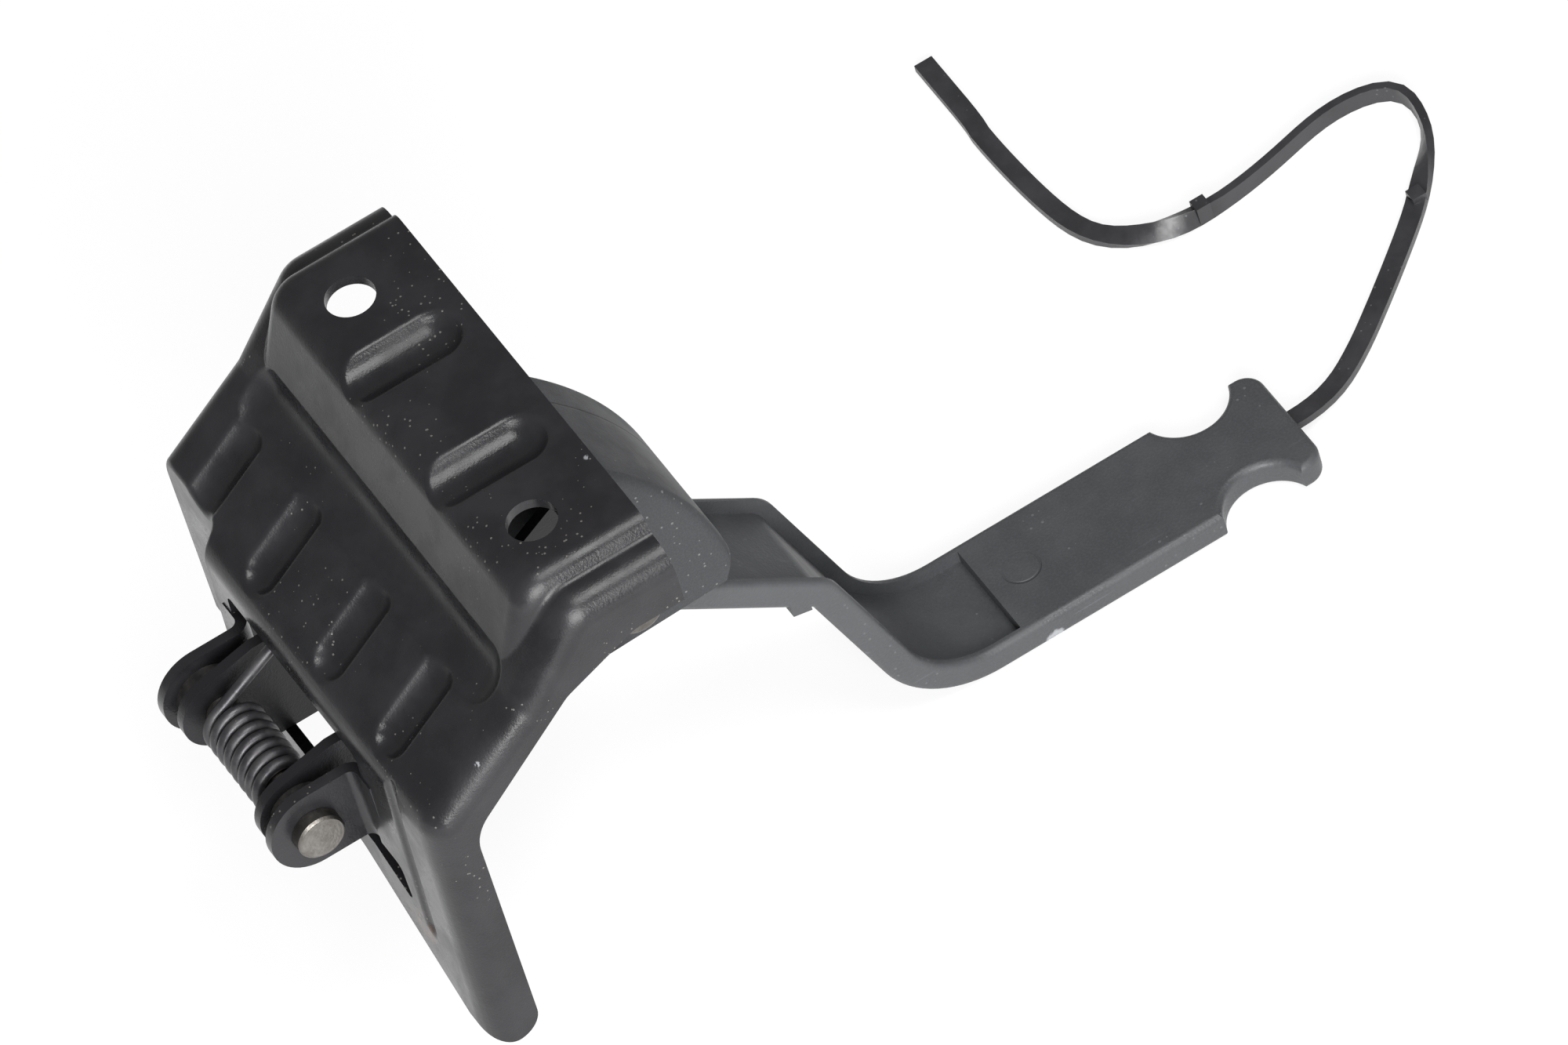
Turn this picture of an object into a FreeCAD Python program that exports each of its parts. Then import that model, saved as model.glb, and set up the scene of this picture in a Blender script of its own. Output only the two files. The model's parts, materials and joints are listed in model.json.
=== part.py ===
import FreeCAD
import Part
import math
import os

V = FreeCAD.Vector

# Frame: X along the pivot pin, Y forward to the handle, Z up out of the bolting flange.
# The origin is on the flange's top face, halfway between the two bolt holes.

# Bracket stamping
SHEET = 2.0
BRACKET_W = 97.0
FLANGE_FRONT = 14.5
PAD_REAR = -9.0
PAD_FOOT_Y = -16.0
PAD_RISE = 3.0
PAD_RIM_R = 4.0
SHOULDER_W = 6.0
SHOULDER_REAR = -4.5
VALLEY_Y = -17.5
VALLEY_Z = -17.9
FOLD_Y = -38.0
FOLD_Z = -32.7
WALL_LEAN = 1.6
BEND_R = 6.5
VALLEY_R = 4.0
SIDE_R = 5.0
BOLT_SPACING = 60.0
BOLT_HOLE_D = 8.6

# Side walls and guide finger
SIDE_DEPTH = 14.0
SIDE_STRIP = 8.5
FINGER_W = 9.0
FINGER_TIP_Z = -88.0
WALL_BOTTOM_Z = -69.0
FINGER_SHOULDER_X = 11.0
FINGER_SHOULDER_Z = -76.5

# Stiffening grooves
GROOVE_R = 6.0
GROOVE_DEPTH = 2.8
GROOVE_X = 14.0
GROOVE_FRONT = 6.5
GUTTER_R = 7.0
GUTTER_DEPTH = 2.2
GUTTER_INSET = 6.5
WEB_GROOVE_R = 5.0
WEB_GROOVE_DEPTH = 2.2
WEB_GROOVES_X = (-34.5, -14.5, 8.5, 29.0)
WEB_GROOVE_START = 7.5
WEB_GROOVE_END = 19.0
STRIP_STEP = 4.0
STRIP_X = -29.0
BEAD_X = 34.5
BEAD_R = 2.4
BEAD_DEPTH = 1.0
RIM_R = 1.5
RIM_TURN = 20.0
FOOT_TURN = 17.0

# Window and ears of the pivot
PIN_Y = -47.7
PIN_Z = -51.0
EAR_R = 8.0
EAR_ROOT_H = 16.0
EAR_BEND_R = 1.5
WINDOW_TOP_Z = -38.0
WINDOW_BOTTOM_Z = -63.5
WINDOW_SIDE = 1.0
STOP_GAP = 0.1
WINDOW_R = 2.0
RELIEF_X = 8.0
RELIEF_R = 1.2

# Pivot pin, washers and torsion spring
PIN_D = 6.0
PIN_HEAD_D = 8.6
PIN_HEAD_T = 2.6
RIVET_HEAD_D = 9.4
RIVET_HEAD_T = 2.0
RUN_CLEAR = 0.05
WASHER_D = 11.0
WASHER_T = 3.2
WIRE_D = 2.1
COIL_CLEAR = 0.3
COIL_TURNS = 7
COIL_PITCH = 2.35
LEG_BRACKET = 21.0
LEG_LEVER = 14.0
LEG_DRAW = 0.97
WIRE_CLEAR = 0.02

# Lever channel
CHANNEL_W = 28.1
LEVER_SHEET = 2.0
LEVER_EAR_R = 7.2
CHANNEL_BOTTOM_Z = -56.5
CHANNEL_NOSE_R = 5.0
CHANNEL_TOP_Y = 16.2
CHANNEL_TOP_Z = -16.0
CHANNEL_EDGE_R = 2.0
LEVER_BOTTOM_RUN = 30.0
LEVER_BACK = (-12.0, -31.0)

# Handle moulding
ROOT_CLEAR = 0.05
HANDLE_T = 5.4
RIM = 1.6
RECESS_DEPTH = 2.6
ARM_ROOT = (2.0, -36.5)
ARM_KNEE = (49.9, -73.4)
PADDLE_HEEL = (62.3, -109.5)
KNEE_R = 7.0
HEEL_R = 15.0
RECESS_START = 26.0
RECESS_END = 78.3
PADDLE_END = 137.0
NOTCH_Y = 124.5
NOTCH_R = 8.0
NOTCH_DEPTH = 5.6
LOBE_R = 3.6
EDGE_R = 1.2
NUB_Y = 41.5
NUB_H = 1.8
NUB_L = 3.4
NUB_W = 2.5
STUD_D = 5.0
STUD_HEAD_D = 9.0
STUD_HEAD_T = 1.5
STUD_PITCH = 14.0

# Pull strap
STRAP_W = 3.5
STRAP_T = 1.5
STRAP_INSERT = 6.0
STRAP_CLEAR = 0.05
STRAP_NUB = 0.9
STRAP_NUB_L = 2.6
STRAP_NUBS_AT = (52.0, 118.0)
STRAP_TURNS_AT = (48.0, 72.0, 112.0, 140.0)
STRAP_STEP = 2.5
STRAP_ROUTE = (
    (-6.5, 16.0),
    (-20.0, 32.5),
    (-33.5, 46.5),
    (-41.5, 51.5),
    (-50.5, 51.5),
    (-54.0, 43.0),
    (-52.0, 30.0),
    (-49.5, 16.0),
    (-50.5, 5.0),
    (-56.5, -3.0),
    (-69.0, -7.0),
    (-90.0, -8.0),
    (-110.0, -7.5),
)


def shifted_path(points, d):
    """Open polyline moved sideways by d, to its right as it is walked."""
    lines = []
    for (ay, az), (by, bz) in zip(points[:-1], points[1:]):
        run = math.hypot(by - ay, bz - az)
        ny, nz = (bz - az) / run, -(by - ay) / run
        lines.append(((ay + ny * d, az + nz * d), (by + ny * d, bz + nz * d)))
    out = [lines[0][0]]
    for (a, b), (c, e) in zip(lines[:-1], lines[1:]):
        r = (b[0] - a[0], b[1] - a[1])
        s = (e[0] - c[0], e[1] - c[1])
        t = ((c[0] - a[0]) * s[1] - (c[1] - a[1]) * s[0]) / (r[0] * s[1] - r[1] * s[0])
        out.append((a[0] + r[0] * t, a[1] + r[1] * t))
    out.append(lines[-1][1])
    return out


def corner_arc(before, at, after, radius):
    """Tangent points and middle point of the arc that rounds a corner."""
    a = FreeCAD.Vector(before[0] - at[0], before[1] - at[1], 0)
    b = FreeCAD.Vector(after[0] - at[0], after[1] - at[1], 0)
    a.normalize()
    b.normalize()
    half = a.getAngle(b) / 2.0
    reach = radius / math.tan(half)
    axis = a + b
    axis.normalize()
    centre = axis * (radius / math.sin(half))
    middle = centre - axis * radius
    return [(at[0] + p.x, at[1] + p.y) for p in (a * reach, middle, b * reach)]


def rounded_face(points, radii, place):
    """Closed face through 2-D points, with a radius for each corner (0 is sharp)."""
    count = len(points)
    corners = []
    for i, radius in enumerate(radii):
        if radius > 0:
            corners.append(corner_arc(points[i - 1], points[i], points[(i + 1) % count], radius))
        else:
            corners.append([points[i]])
    edges = []
    for i, corner in enumerate(corners):
        if len(corner) == 3:
            edges.append(Part.Arc(*[place(*p) for p in corner]).toShape())
        start = place(*corner[-1])
        end = place(*corners[(i + 1) % count][0])
        if start.distanceToPoint(end) > 1e-6:
            edges.append(Part.makeLine(start, end))
    return Part.Face(Part.Wire(Part.__sortEdges__(edges)))


def bar_x(points, radii, x0, x1):
    """Solid of a side profile (Y, Z) between two X planes."""
    return rounded_face(points, radii, lambda y, z: V(x0, y, z)).extrude(V(x1 - x0, 0, 0))


def bar_y(points, radii, y0, y1):
    """Solid of a front profile (X, Z) between two Y planes."""
    return rounded_face(points, radii, lambda x, z: V(x, y0, z)).extrude(V(0, y1 - y0, 0))


def bar_z(points, radii, z0, z1):
    """Solid of a plan outline (X, Y) between two Z planes."""
    return rounded_face(points, radii, lambda x, y: V(x, y, z0)).extrude(V(0, 0, z1 - z0))


def rod_x(radius, x0, x1, y, z):
    return Part.makeCylinder(radius, x1 - x0, V(x0, y, z), V(1, 0, 0))


def capsule(start, end, radius):
    """Cylinder with a ball on each end."""
    body = Part.makeCylinder(radius, (end - start).Length, start, end - start)
    return body.fuse([Part.makeSphere(radius, start), Part.makeSphere(radius, end)])


def mirrored(shape):
    return shape.mirror(V(0, 0, 0), V(1, 0, 0))


def tangent_point(centre, radius, outside, side):
    """Where a line from a point outside touches a circle; side is +1 or -1."""
    dy, dz = outside[0] - centre[0], outside[1] - centre[1]
    turn = math.atan2(dz, dy) + side * math.acos(radius / math.hypot(dy, dz))
    return (centre[0] + radius * math.cos(turn), centre[1] + radius * math.sin(turn))


# The bracket's outer surface, seen from its end, and the slopes that follow from it.
HALF_W = BRACKET_W / 2.0
PAD_HALF = HALF_W - SHOULDER_W
WALL_DEPTH = FOLD_Z - FINGER_TIP_Z
WALL_BASE_Y = FOLD_Y - WALL_LEAN
PROFILE = [
    (FLANGE_FRONT, -PAD_RISE),
    (SHOULDER_REAR, -PAD_RISE),
    (VALLEY_Y, VALLEY_Z),
    (FOLD_Y, FOLD_Z),
    (WALL_BASE_Y, FINGER_TIP_Z),
]
WEB_RUN = math.hypot(VALLEY_Y - FOLD_Y, VALLEY_Z - FOLD_Z)
WEB_DOWN = V(0, (FOLD_Y - VALLEY_Y) / WEB_RUN, (FOLD_Z - VALLEY_Z) / WEB_RUN)
WEB_OUT = V(0, WEB_DOWN.z, -WEB_DOWN.y)
STEEP_RUN = math.hypot(PAD_REAR - VALLEY_Y, VALLEY_Z)
STEEP_DOWN = V(0, (VALLEY_Y - PAD_REAR) / STEEP_RUN, VALLEY_Z / STEEP_RUN)
STEEP_OUT = V(0, STEEP_DOWN.z, -STEEP_DOWN.y)
FAR_OFF = 60.0


def web_point(x, along, out):
    """Point on the sloping web: along it from the valley, and out of it."""
    return V(x, VALLEY_Y, VALLEY_Z) + WEB_DOWN * along + WEB_OUT * out


def wall_y(z):
    """Outer face of the leaning front wall at a height."""
    return FOLD_Y - WALL_LEAN * (FOLD_Z - z) / WALL_DEPTH


def form_block(inset):
    """What the stamping wraps, inset by the depth below its outer face."""
    path = shifted_path(PROFILE, -inset)
    spill = FAR_OFF if inset > 0 else 0.0
    front = FLANGE_FRONT + spill
    bottom = FINGER_TIP_Z - spill
    slope = (path[4][0] - path[3][0]) / (path[4][1] - path[3][1])
    path[0] = (front, path[0][1])
    path[4] = (path[3][0] + slope * (bottom - path[3][1]), bottom)
    outline = path + [(front, bottom)]
    radii = [0, BEND_R - inset, VALLEY_R + inset, BEND_R - inset, 0, 0]
    half = HALF_W - inset
    block = bar_x(outline, radii, -half, half)
    rims = []
    for edge in block.Edges:
        box = edge.BoundBox
        at_side = box.XLength < 1e-4 and abs(abs(box.XMin) - half) < 1e-4
        on_bottom = box.ZMax < bottom + 1e-4
        on_front = box.YMin > front - 1e-4
        if at_side and not on_bottom and not on_front:
            rims.append(edge)
    return block.makeFillet(SIDE_R - inset, rims)


def pad_block(inset):
    """The raised bolting face between the two shoulders, inset by the depth below its outer face."""
    spill = FAR_OFF if inset > 0 else 0.0
    front = FLANGE_FRONT + spill
    path = shifted_path([(FLANGE_FRONT, 0.0), (PAD_REAR, 0.0), (PAD_FOOT_Y, VALLEY_Z)], -inset)
    base = VALLEY_Z - 2.0 * PAD_RISE
    slope = (path[2][0] - path[1][0]) / (path[2][1] - path[1][1])
    path[0] = (front, path[0][1])
    path[2] = (path[1][0] + slope * (base - path[1][1]), base)
    half = PAD_HALF - inset
    block = bar_x(path + [(front, base)], [0, BEND_R - inset, 0, 0], -half, half)
    rims = []
    for edge in block.Edges:
        box = edge.BoundBox
        on_base = box.ZMax < base + 1e-4
        on_front = box.YMin > front - 1e-4
        if box.XLength < 1e-4 and not on_base and not on_front:
            rims.append(edge)
    return block.makeFillet(PAD_RIM_R - inset, rims)


def edge_turn(shape, edge):
    """Angle in degrees by which the surface turns over an edge."""
    faces = shape.ancestorsOfType(edge, Part.Face)
    if len(faces) != 2:
        return 0.0
    point = edge.valueAt((edge.FirstParameter + edge.LastParameter) / 2.0)
    normals = [face.normalAt(*face.Surface.parameter(point)) for face in faces]
    return math.degrees(normals[0].getAngle(normals[1]))


def soften(shape, radius, turn, wanted):
    """Round the edges that turn by more than an angle and whose bounding box is wanted."""
    edges = []
    for edge in shape.Edges:
        if edge.BoundBox.YMin < FLANGE_FRONT - 1e-3 and wanted(edge.BoundBox):
            if edge_turn(shape, edge) > turn:
                edges.append(edge)
    return shape.makeFillet(radius, edges)


def top_grooves(inset):
    """The grooves pressed into the bolting face, its foot and the web, grown by the same depth."""
    tools = []
    rise = GROOVE_R - GROOVE_DEPTH
    for x in (-GROOVE_X, GROOVE_X):
        front = V(x, GROOVE_FRONT, rise)
        rear = V(x, VALLEY_Y - GROOVE_R, rise)
        tools.append(capsule(front, rear, GROOVE_R + inset))
    bisect = WEB_OUT + STEEP_OUT
    bisect.normalize()
    reach = (GUTTER_R - GUTTER_DEPTH) / bisect.dot(WEB_OUT)
    gutter = V(0, VALLEY_Y, VALLEY_Z) + bisect * reach
    reach = V(PAD_HALF - GUTTER_INSET, 0, 0)
    tools.append(capsule(gutter - reach, gutter + reach, GUTTER_R + inset))
    rise = WEB_GROOVE_R - WEB_GROOVE_DEPTH
    for x in WEB_GROOVES_X:
        start = web_point(x, WEB_GROOVE_START, rise)
        end = web_point(x, WEB_GROOVE_END, rise)
        tools.append(capsule(start, end, WEB_GROOVE_R + inset))
    return tools


def far_strip(inset):
    """The step that sets the far edge of the front wall back."""
    return bar_z(
        [
            (-FAR_OFF, FOLD_Y - FAR_OFF),
            (STRIP_X + inset, FOLD_Y - FAR_OFF),
            (STRIP_X + inset, FOLD_Y + STRIP_STEP + inset),
            (-FAR_OFF, FOLD_Y + STRIP_STEP + inset),
        ],
        [0, 0, STRIP_STEP / 2.0 + inset, 0],
        FINGER_TIP_Z - FAR_OFF,
        VALLEY_Z,
    )


def wall_bead(inset):
    """The long bead down the front wall beside the finger."""
    top = V(BEAD_X, wall_y(FOLD_Z) - BEAD_R + BEAD_DEPTH, FOLD_Z)
    end = V(BEAD_X, wall_y(FINGER_SHOULDER_Z) - BEAD_R + BEAD_DEPTH, WALL_BOTTOM_Z)
    return capsule(top, end, BEAD_R + inset)


def outer_form():
    """The stamping's outer face, with the rims of its pressings rounded."""
    foot_low = VALLEY_Z - 2.0 * VALLEY_R
    fold_low = FOLD_Z - BEND_R
    side = HALF_W - SIDE_R
    edge = STRIP_X + RIM_R
    form = form_block(0.0).fuse(pad_block(0.0))
    form = soften(
        form, RIM_R, FOOT_TURN, lambda b: b.ZMin > foot_low and b.ZMax < -1.0 and abs(b.Center.x) < side
    )
    form = form.cut(top_grooves(0.0))
    form = soften(form, RIM_R, RIM_TURN, lambda b: b.ZMax > fold_low and abs(b.Center.x) < side)
    form = form.cut(far_strip(0.0))
    form = soften(
        form, RIM_R, RIM_TURN, lambda b: b.Center.x < edge and b.Center.y < FOLD_Y + 2.0 * STRIP_STEP
    )
    form = form.cut(wall_bead(0.0))
    return soften(
        form, RIM_R, RIM_TURN, lambda b: abs(b.Center.x - BEAD_X) < 2.0 * BEAD_R and b.YMax < FOLD_Y + 2.0
    )


def stamping():
    """The pressed sheet before its edges are trimmed."""
    inside = form_block(SHEET).fuse(pad_block(SHEET))
    inside = inside.cut(top_grooves(SHEET) + [far_strip(SHEET), wall_bead(SHEET)])
    return outer_form().cut(inside)


def side_trim(side):
    """What the blank leaves away behind a side wall, from the flange to the finger."""
    finger_back = WALL_BASE_Y + FINGER_W
    drop = SIDE_STRIP / WEB_OUT.z
    outline = [
        (FLANGE_FRONT + FAR_OFF, -SIDE_DEPTH),
        (PAD_REAR + SIDE_DEPTH, -SIDE_DEPTH),
        (VALLEY_Y + SIDE_STRIP, VALLEY_Z - 2.0),
        (finger_back, VALLEY_Z + (finger_back - VALLEY_Y) * WEB_DOWN.z / WEB_DOWN.y - drop),
        (finger_back, FINGER_TIP_Z - FAR_OFF),
        (FLANGE_FRONT + FAR_OFF, FINGER_TIP_Z - FAR_OFF),
    ]
    radii = [0, 6.0, 6.0, 8.0, 0, 0]
    x0 = side * (HALF_W - SIDE_R - SHEET)
    x1 = side * (HALF_W + FAR_OFF)
    return bar_x(outline, radii, min(x0, x1), max(x0, x1))


def bottom_trim():
    """What the blank leaves away under the front wall."""
    low = FINGER_TIP_Z - FAR_OFF
    outline = [
        (-HALF_W - FAR_OFF, WALL_BOTTOM_Z),
        (FINGER_SHOULDER_X, WALL_BOTTOM_Z),
        (HALF_W - SIDE_R - SHEET, FINGER_TIP_Z + 3.5),
        (HALF_W - SIDE_R - SHEET, low),
        (-HALF_W - FAR_OFF, low),
    ]
    return bar_y(outline, [0, 12.0, 0, 0, 0], FOLD_Y - FAR_OFF, VALLEY_Y)


def finger_trim():
    """Everything past the finger's round tip."""
    back = WALL_BASE_Y + FINGER_W
    low = FINGER_TIP_Z - FAR_OFF
    radius = FINGER_W / 2.0 - 0.01
    block = bar_x(
        [
            (WALL_BASE_Y - FAR_OFF, FINGER_TIP_Z + radius),
            (back + 0.5, FINGER_TIP_Z + radius),
            (back + 0.5, low),
            (WALL_BASE_Y - FAR_OFF, low),
        ],
        [0, 0, 0, 0],
        HALF_W - SIDE_R - SHEET,
        HALF_W + FAR_OFF,
    )
    tip = rod_x(radius, HALF_W - SIDE_R - SHEET, HALF_W + FAR_OFF, back - radius, FINGER_TIP_Z + radius)
    return block.cut(tip)


def window():
    """Opening in the front wall that the lever passes, with the near ear's relief."""
    half = EAR_OUTER + EAR_BEND_R - WINDOW_SIDE + SHEET
    main = bar_y(
        [
            (-half, WINDOW_TOP_Z),
            (half, WINDOW_TOP_Z),
            (half, WINDOW_BOTTOM_Z),
            (-half, WINDOW_BOTTOM_Z),
        ],
        [WINDOW_R] * 4,
        FOLD_Y - FAR_OFF,
        FOLD_Y + 3 * SHEET,
    )
    relief_top = PIN_Z - EAR_ROOT_H / 2.0 - 0.5
    relief = bar_y(
        [
            (half - 2 * WINDOW_R, relief_top),
            (half + RELIEF_X - 1.5, relief_top),
            (half + RELIEF_X, WINDOW_BOTTOM_Z - 4.0),
            (half - 2 * WINDOW_R, WINDOW_BOTTOM_Z),
        ],
        [0, 2.0, RELIEF_R, 0],
        FOLD_Y - FAR_OFF,
        FOLD_Y + 3 * SHEET,
    )
    return [main, relief]


def ear():
    """Near pivot ear, bent forward out of the front wall, with its bend."""
    wall = wall_y(PIN_Z)
    bend_x = EAR_OUTER + EAR_BEND_R
    bend_y = wall - EAR_BEND_R
    top = PIN_Z + EAR_ROOT_H / 2.0
    low = PIN_Z - EAR_ROOT_H / 2.0
    pin = (PIN_Y, PIN_Z)
    upper = tangent_point(pin, EAR_R, (bend_y, top), 1)
    lower = tangent_point(pin, EAR_R, (bend_y, low), -1)
    outline = [(bend_y, top), upper, pin, lower, (bend_y, low)]
    plate = bar_x(outline, [0] * 5, EAR_OUTER - SHEET, EAR_OUTER)
    plate = plate.fuse(rod_x(EAR_R, EAR_OUTER - SHEET, EAR_OUTER, PIN_Y, PIN_Z))
    base = V(bend_x, bend_y, low)
    outer = Part.makeCylinder(EAR_BEND_R + SHEET, EAR_ROOT_H, base, V(0, 0, 1), 90)
    inner = Part.makeCylinder(EAR_BEND_R, EAR_ROOT_H, base, V(0, 0, 1), 90)
    bend = outer.cut(inner)
    bend.rotate(base, V(0, 0, 1), 90)
    foot = Part.makeBox(2 * WINDOW_SIDE + SHEET, SHEET, EAR_ROOT_H, V(bend_x, wall, low))
    return plate.fuse([bend, foot]).removeSplitter()


def make_bracket():
    body = stamping()
    body = body.cut([side_trim(1), side_trim(-1), bottom_trim(), finger_trim()] + window())
    body = body.fuse([ear(), mirrored(ear())])
    holes = []
    for side in (-1, 1):
        holes.append(
            Part.makeCylinder(BOLT_HOLE_D / 2.0, 4 * SHEET, V(side * BOLT_SPACING / 2.0, 0, -3 * SHEET))
        )
    holes.append(rod_x(PIN_D / 2.0, -FAR_OFF, FAR_OFF, PIN_Y, PIN_Z))
    return body.cut(holes)


def make_pin():
    shank = rod_x(PIN_D / 2.0, -EAR_OUTER, EAR_OUTER, PIN_Y, PIN_Z)
    head = rod_x(PIN_HEAD_D / 2.0, EAR_OUTER, EAR_OUTER + PIN_HEAD_T, PIN_Y, PIN_Z)
    rim = [e for e in head.Edges if e.BoundBox.XMin > EAR_OUTER + PIN_HEAD_T - 1e-4]
    head = head.makeChamfer(0.4, rim)
    upset = rod_x(RIVET_HEAD_D / 2.0, -EAR_OUTER - RIVET_HEAD_T, -EAR_OUTER, PIN_Y, PIN_Z)
    rim = [e for e in upset.Edges if e.BoundBox.XMax < -EAR_OUTER - RIVET_HEAD_T + 1e-4]
    upset = upset.makeFillet(RIVET_HEAD_T * 0.6, rim)
    return shank.fuse([head, upset]).removeSplitter()


PLATE_OUT = CHANNEL_W / 2.0
PLATE_IN = PLATE_OUT - LEVER_SHEET
WASHER_IN = PLATE_OUT + RUN_CLEAR
EAR_OUTER = WASHER_IN + WASHER_T + SHEET
HANDLE_W = 2.0 * (PLATE_IN - ROOT_CLEAR)


def make_washer():
    ring = rod_x(WASHER_D / 2.0, WASHER_IN, WASHER_IN + WASHER_T, PIN_Y, PIN_Z)
    return ring.cut(rod_x(PIN_D / 2.0, -FAR_OFF, FAR_OFF, PIN_Y, PIN_Z))


# The spring: its first leg bears up on the window's top edge, and the second hooks the lever.
COIL_R = PIN_D / 2.0 + COIL_CLEAR + WIRE_D / 2.0
EDGE_Y = wall_y(WINDOW_TOP_Z) + SHEET
EDGE_RUN = math.hypot(EDGE_Y - PIN_Y, WINDOW_TOP_Z - PIN_Z)
LEG_ANGLE = math.atan2(WINDOW_TOP_Z - PIN_Z, EDGE_Y - PIN_Y) - math.asin(
    (COIL_R + WIRE_D / 2.0 + WIRE_CLEAR) / EDGE_RUN
)
COIL_L = (COIL_TURNS + 0.5 - LEG_ANGLE / (2 * math.pi)) * COIL_PITCH
HOOK_Y = PIN_Y + LEG_LEVER
HOOK_Z = PIN_Z - COIL_R


def make_spring():
    helix = Part.makeHelix(COIL_PITCH, COIL_L, COIL_R)
    section = Part.Wire(Part.makeCircle(WIRE_D / 2.0, V(COIL_R, 0, 0), V(0, 1, 0)))
    pipe = Part.Wire(helix).makePipeShell([section], True, True)
    coil = Part.Solid(pipe)
    coil.rotate(V(0, 0, 0), V(0, 1, 0), 90)
    coil.rotate(V(0, 0, 0), V(1, 0, 0), 180 + math.degrees(LEG_ANGLE))
    coil.translate(V(-COIL_L / 2.0, PIN_Y, PIN_Z))
    along = V(0, math.cos(LEG_ANGLE), math.sin(LEG_ANGLE))
    start = V(-COIL_L / 2.0, PIN_Y - COIL_R * along.z, PIN_Z + COIL_R * along.y)
    end = V(COIL_L / 2.0, PIN_Y, HOOK_Z)
    hook = V(COIL_L / 2.0, HOOK_Y, HOOK_Z)
    drawn = WIRE_D / 2.0 * LEG_DRAW
    root = WIRE_D * 0.15
    legs = [
        Part.makeCylinder(drawn, LEG_BRACKET + root, start - along * root, along),
        Part.makeCylinder(drawn, LEG_LEVER + root, end - V(0, root, 0), V(0, 1, 0)),
        Part.makeSphere(WIRE_D / 2.0, hook),
        Part.makeCylinder(drawn, PLATE_OUT - hook.x, hook, V(1, 0, 0)),
    ]
    return coil.fuse(legs)


def channel_front():
    """Outer curve of the channel's front wall, from its top edge to the nose."""
    return [
        (CHANNEL_TOP_Y, CHANNEL_TOP_Z),
        (25.2, -27.0),
        (31.6, -39.4),
        (34.6, CHANNEL_BOTTOM_Z + CHANNEL_NOSE_R),
    ]


def curved_block(curve_points, rest, half):
    """Solid across the channel whose side outline is a smooth curve closed by straight runs."""
    spline = Part.BSplineCurve()
    spline.interpolate([V(-half, y, z) for y, z in curve_points])
    edges = [spline.toShape()]
    corners = [curve_points[-1]] + rest + [curve_points[0]]
    for a, b in zip(corners[:-1], corners[1:]):
        edges.append(Part.makeLine(V(-half, *a), V(-half, *b)))
    return Part.Face(Part.Wire(Part.__sortEdges__(edges))).extrude(V(2.0 * half, 0, 0))


def make_lever():
    front = channel_front()
    wall_in = wall_y(PIN_Z) + SHEET
    rear_z = WINDOW_BOTTOM_Z + STOP_GAP
    neck_y = wall_in - SHEET - 1.0
    neck_z = PIN_Z + 9.5
    outline = [
        (front[-1][0] - 2.5, CHANNEL_BOTTOM_Z),
        (wall_in + LEVER_BOTTOM_RUN, CHANNEL_BOTTOM_Z - 1.5),
        (wall_in + 4.0, rear_z),
        (neck_y, rear_z),
        tangent_point((PIN_Y, PIN_Z), LEVER_EAR_R, (neck_y, rear_z), -1),
        (PIN_Y, PIN_Z),
        tangent_point((PIN_Y, PIN_Z), LEVER_EAR_R, (neck_y, neck_z), 1),
        (neck_y, neck_z),
        (wall_in + 4.0, neck_z),
        LEVER_BACK,
        (CHANNEL_TOP_Y - 9.0, CHANNEL_TOP_Z - 3.0),
        (CHANNEL_TOP_Y - 3.0, CHANNEL_TOP_Z),
    ]
    body = curved_block(front, outline, PLATE_OUT)
    bends = []
    for edge in body.Edges:
        box = edge.BoundBox
        if box.XLength < 1e-4 and box.YMin > CHANNEL_TOP_Y - 1e-3 and box.ZLength > 2.0 * CHANNEL_NOSE_R:
            bends.append(edge)
    body = body.makeFillet(CHANNEL_EDGE_R, bends)
    body = body.fuse(rod_x(LEVER_EAR_R, -PLATE_OUT, PLATE_OUT, PIN_Y, PIN_Z)).removeSplitter()
    back = shifted_path(front, LEVER_SHEET)
    far = 2.0 * FAR_OFF
    clear = [(back[-1][0], -far), (-far, -far), (-far, far), (back[0][0], far)]
    body = body.cut(curved_block(back, clear, PLATE_IN))
    bore = rod_x(PIN_D / 2.0 + RUN_CLEAR, -FAR_OFF, FAR_OFF, PIN_Y, PIN_Z)
    hook = rod_x(WIRE_D / 2.0 + COIL_CLEAR / 2.0, 0, FAR_OFF, HOOK_Y, HOOK_Z)
    return body.cut([bore, hook, stud_hole(0), stud_hole(1)])


ARM_SLOPE = math.atan2(ARM_KNEE[1] - ARM_ROOT[1], ARM_KNEE[0] - ARM_ROOT[0])


def stud_place(index):
    """Centre of a stud in the handle's root, mid way through its thickness."""
    along = 6.0 + index * STUD_PITCH
    deep = HANDLE_T / 2.0
    y = ARM_ROOT[0] + along * math.cos(ARM_SLOPE) + deep * math.sin(ARM_SLOPE)
    z = ARM_ROOT[1] + along * math.sin(ARM_SLOPE) - deep * math.cos(ARM_SLOPE)
    return y, z


def stud_hole(index):
    y, z = stud_place(index)
    return rod_x(STUD_D / 2.0, -FAR_OFF, FAR_OFF, y, z)


def make_stud(index):
    y, z = stud_place(index)
    shank = rod_x(STUD_D / 2.0, -PLATE_OUT, PLATE_OUT, y, z)
    head = rod_x(STUD_HEAD_D / 2.0, PLATE_OUT, PLATE_OUT + STUD_HEAD_T, y, z)
    rim = [e for e in head.Edges if e.BoundBox.XMin > PLATE_OUT + STUD_HEAD_T - 1e-4]
    head = head.makeFillet(STUD_HEAD_T * 0.6, rim)
    return shank.fuse([head, mirrored(head)]).removeSplitter()


def handle_path():
    return [ARM_ROOT, ARM_KNEE, PADDLE_HEEL, (PADDLE_END, PADDLE_HEEL[1])]


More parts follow.
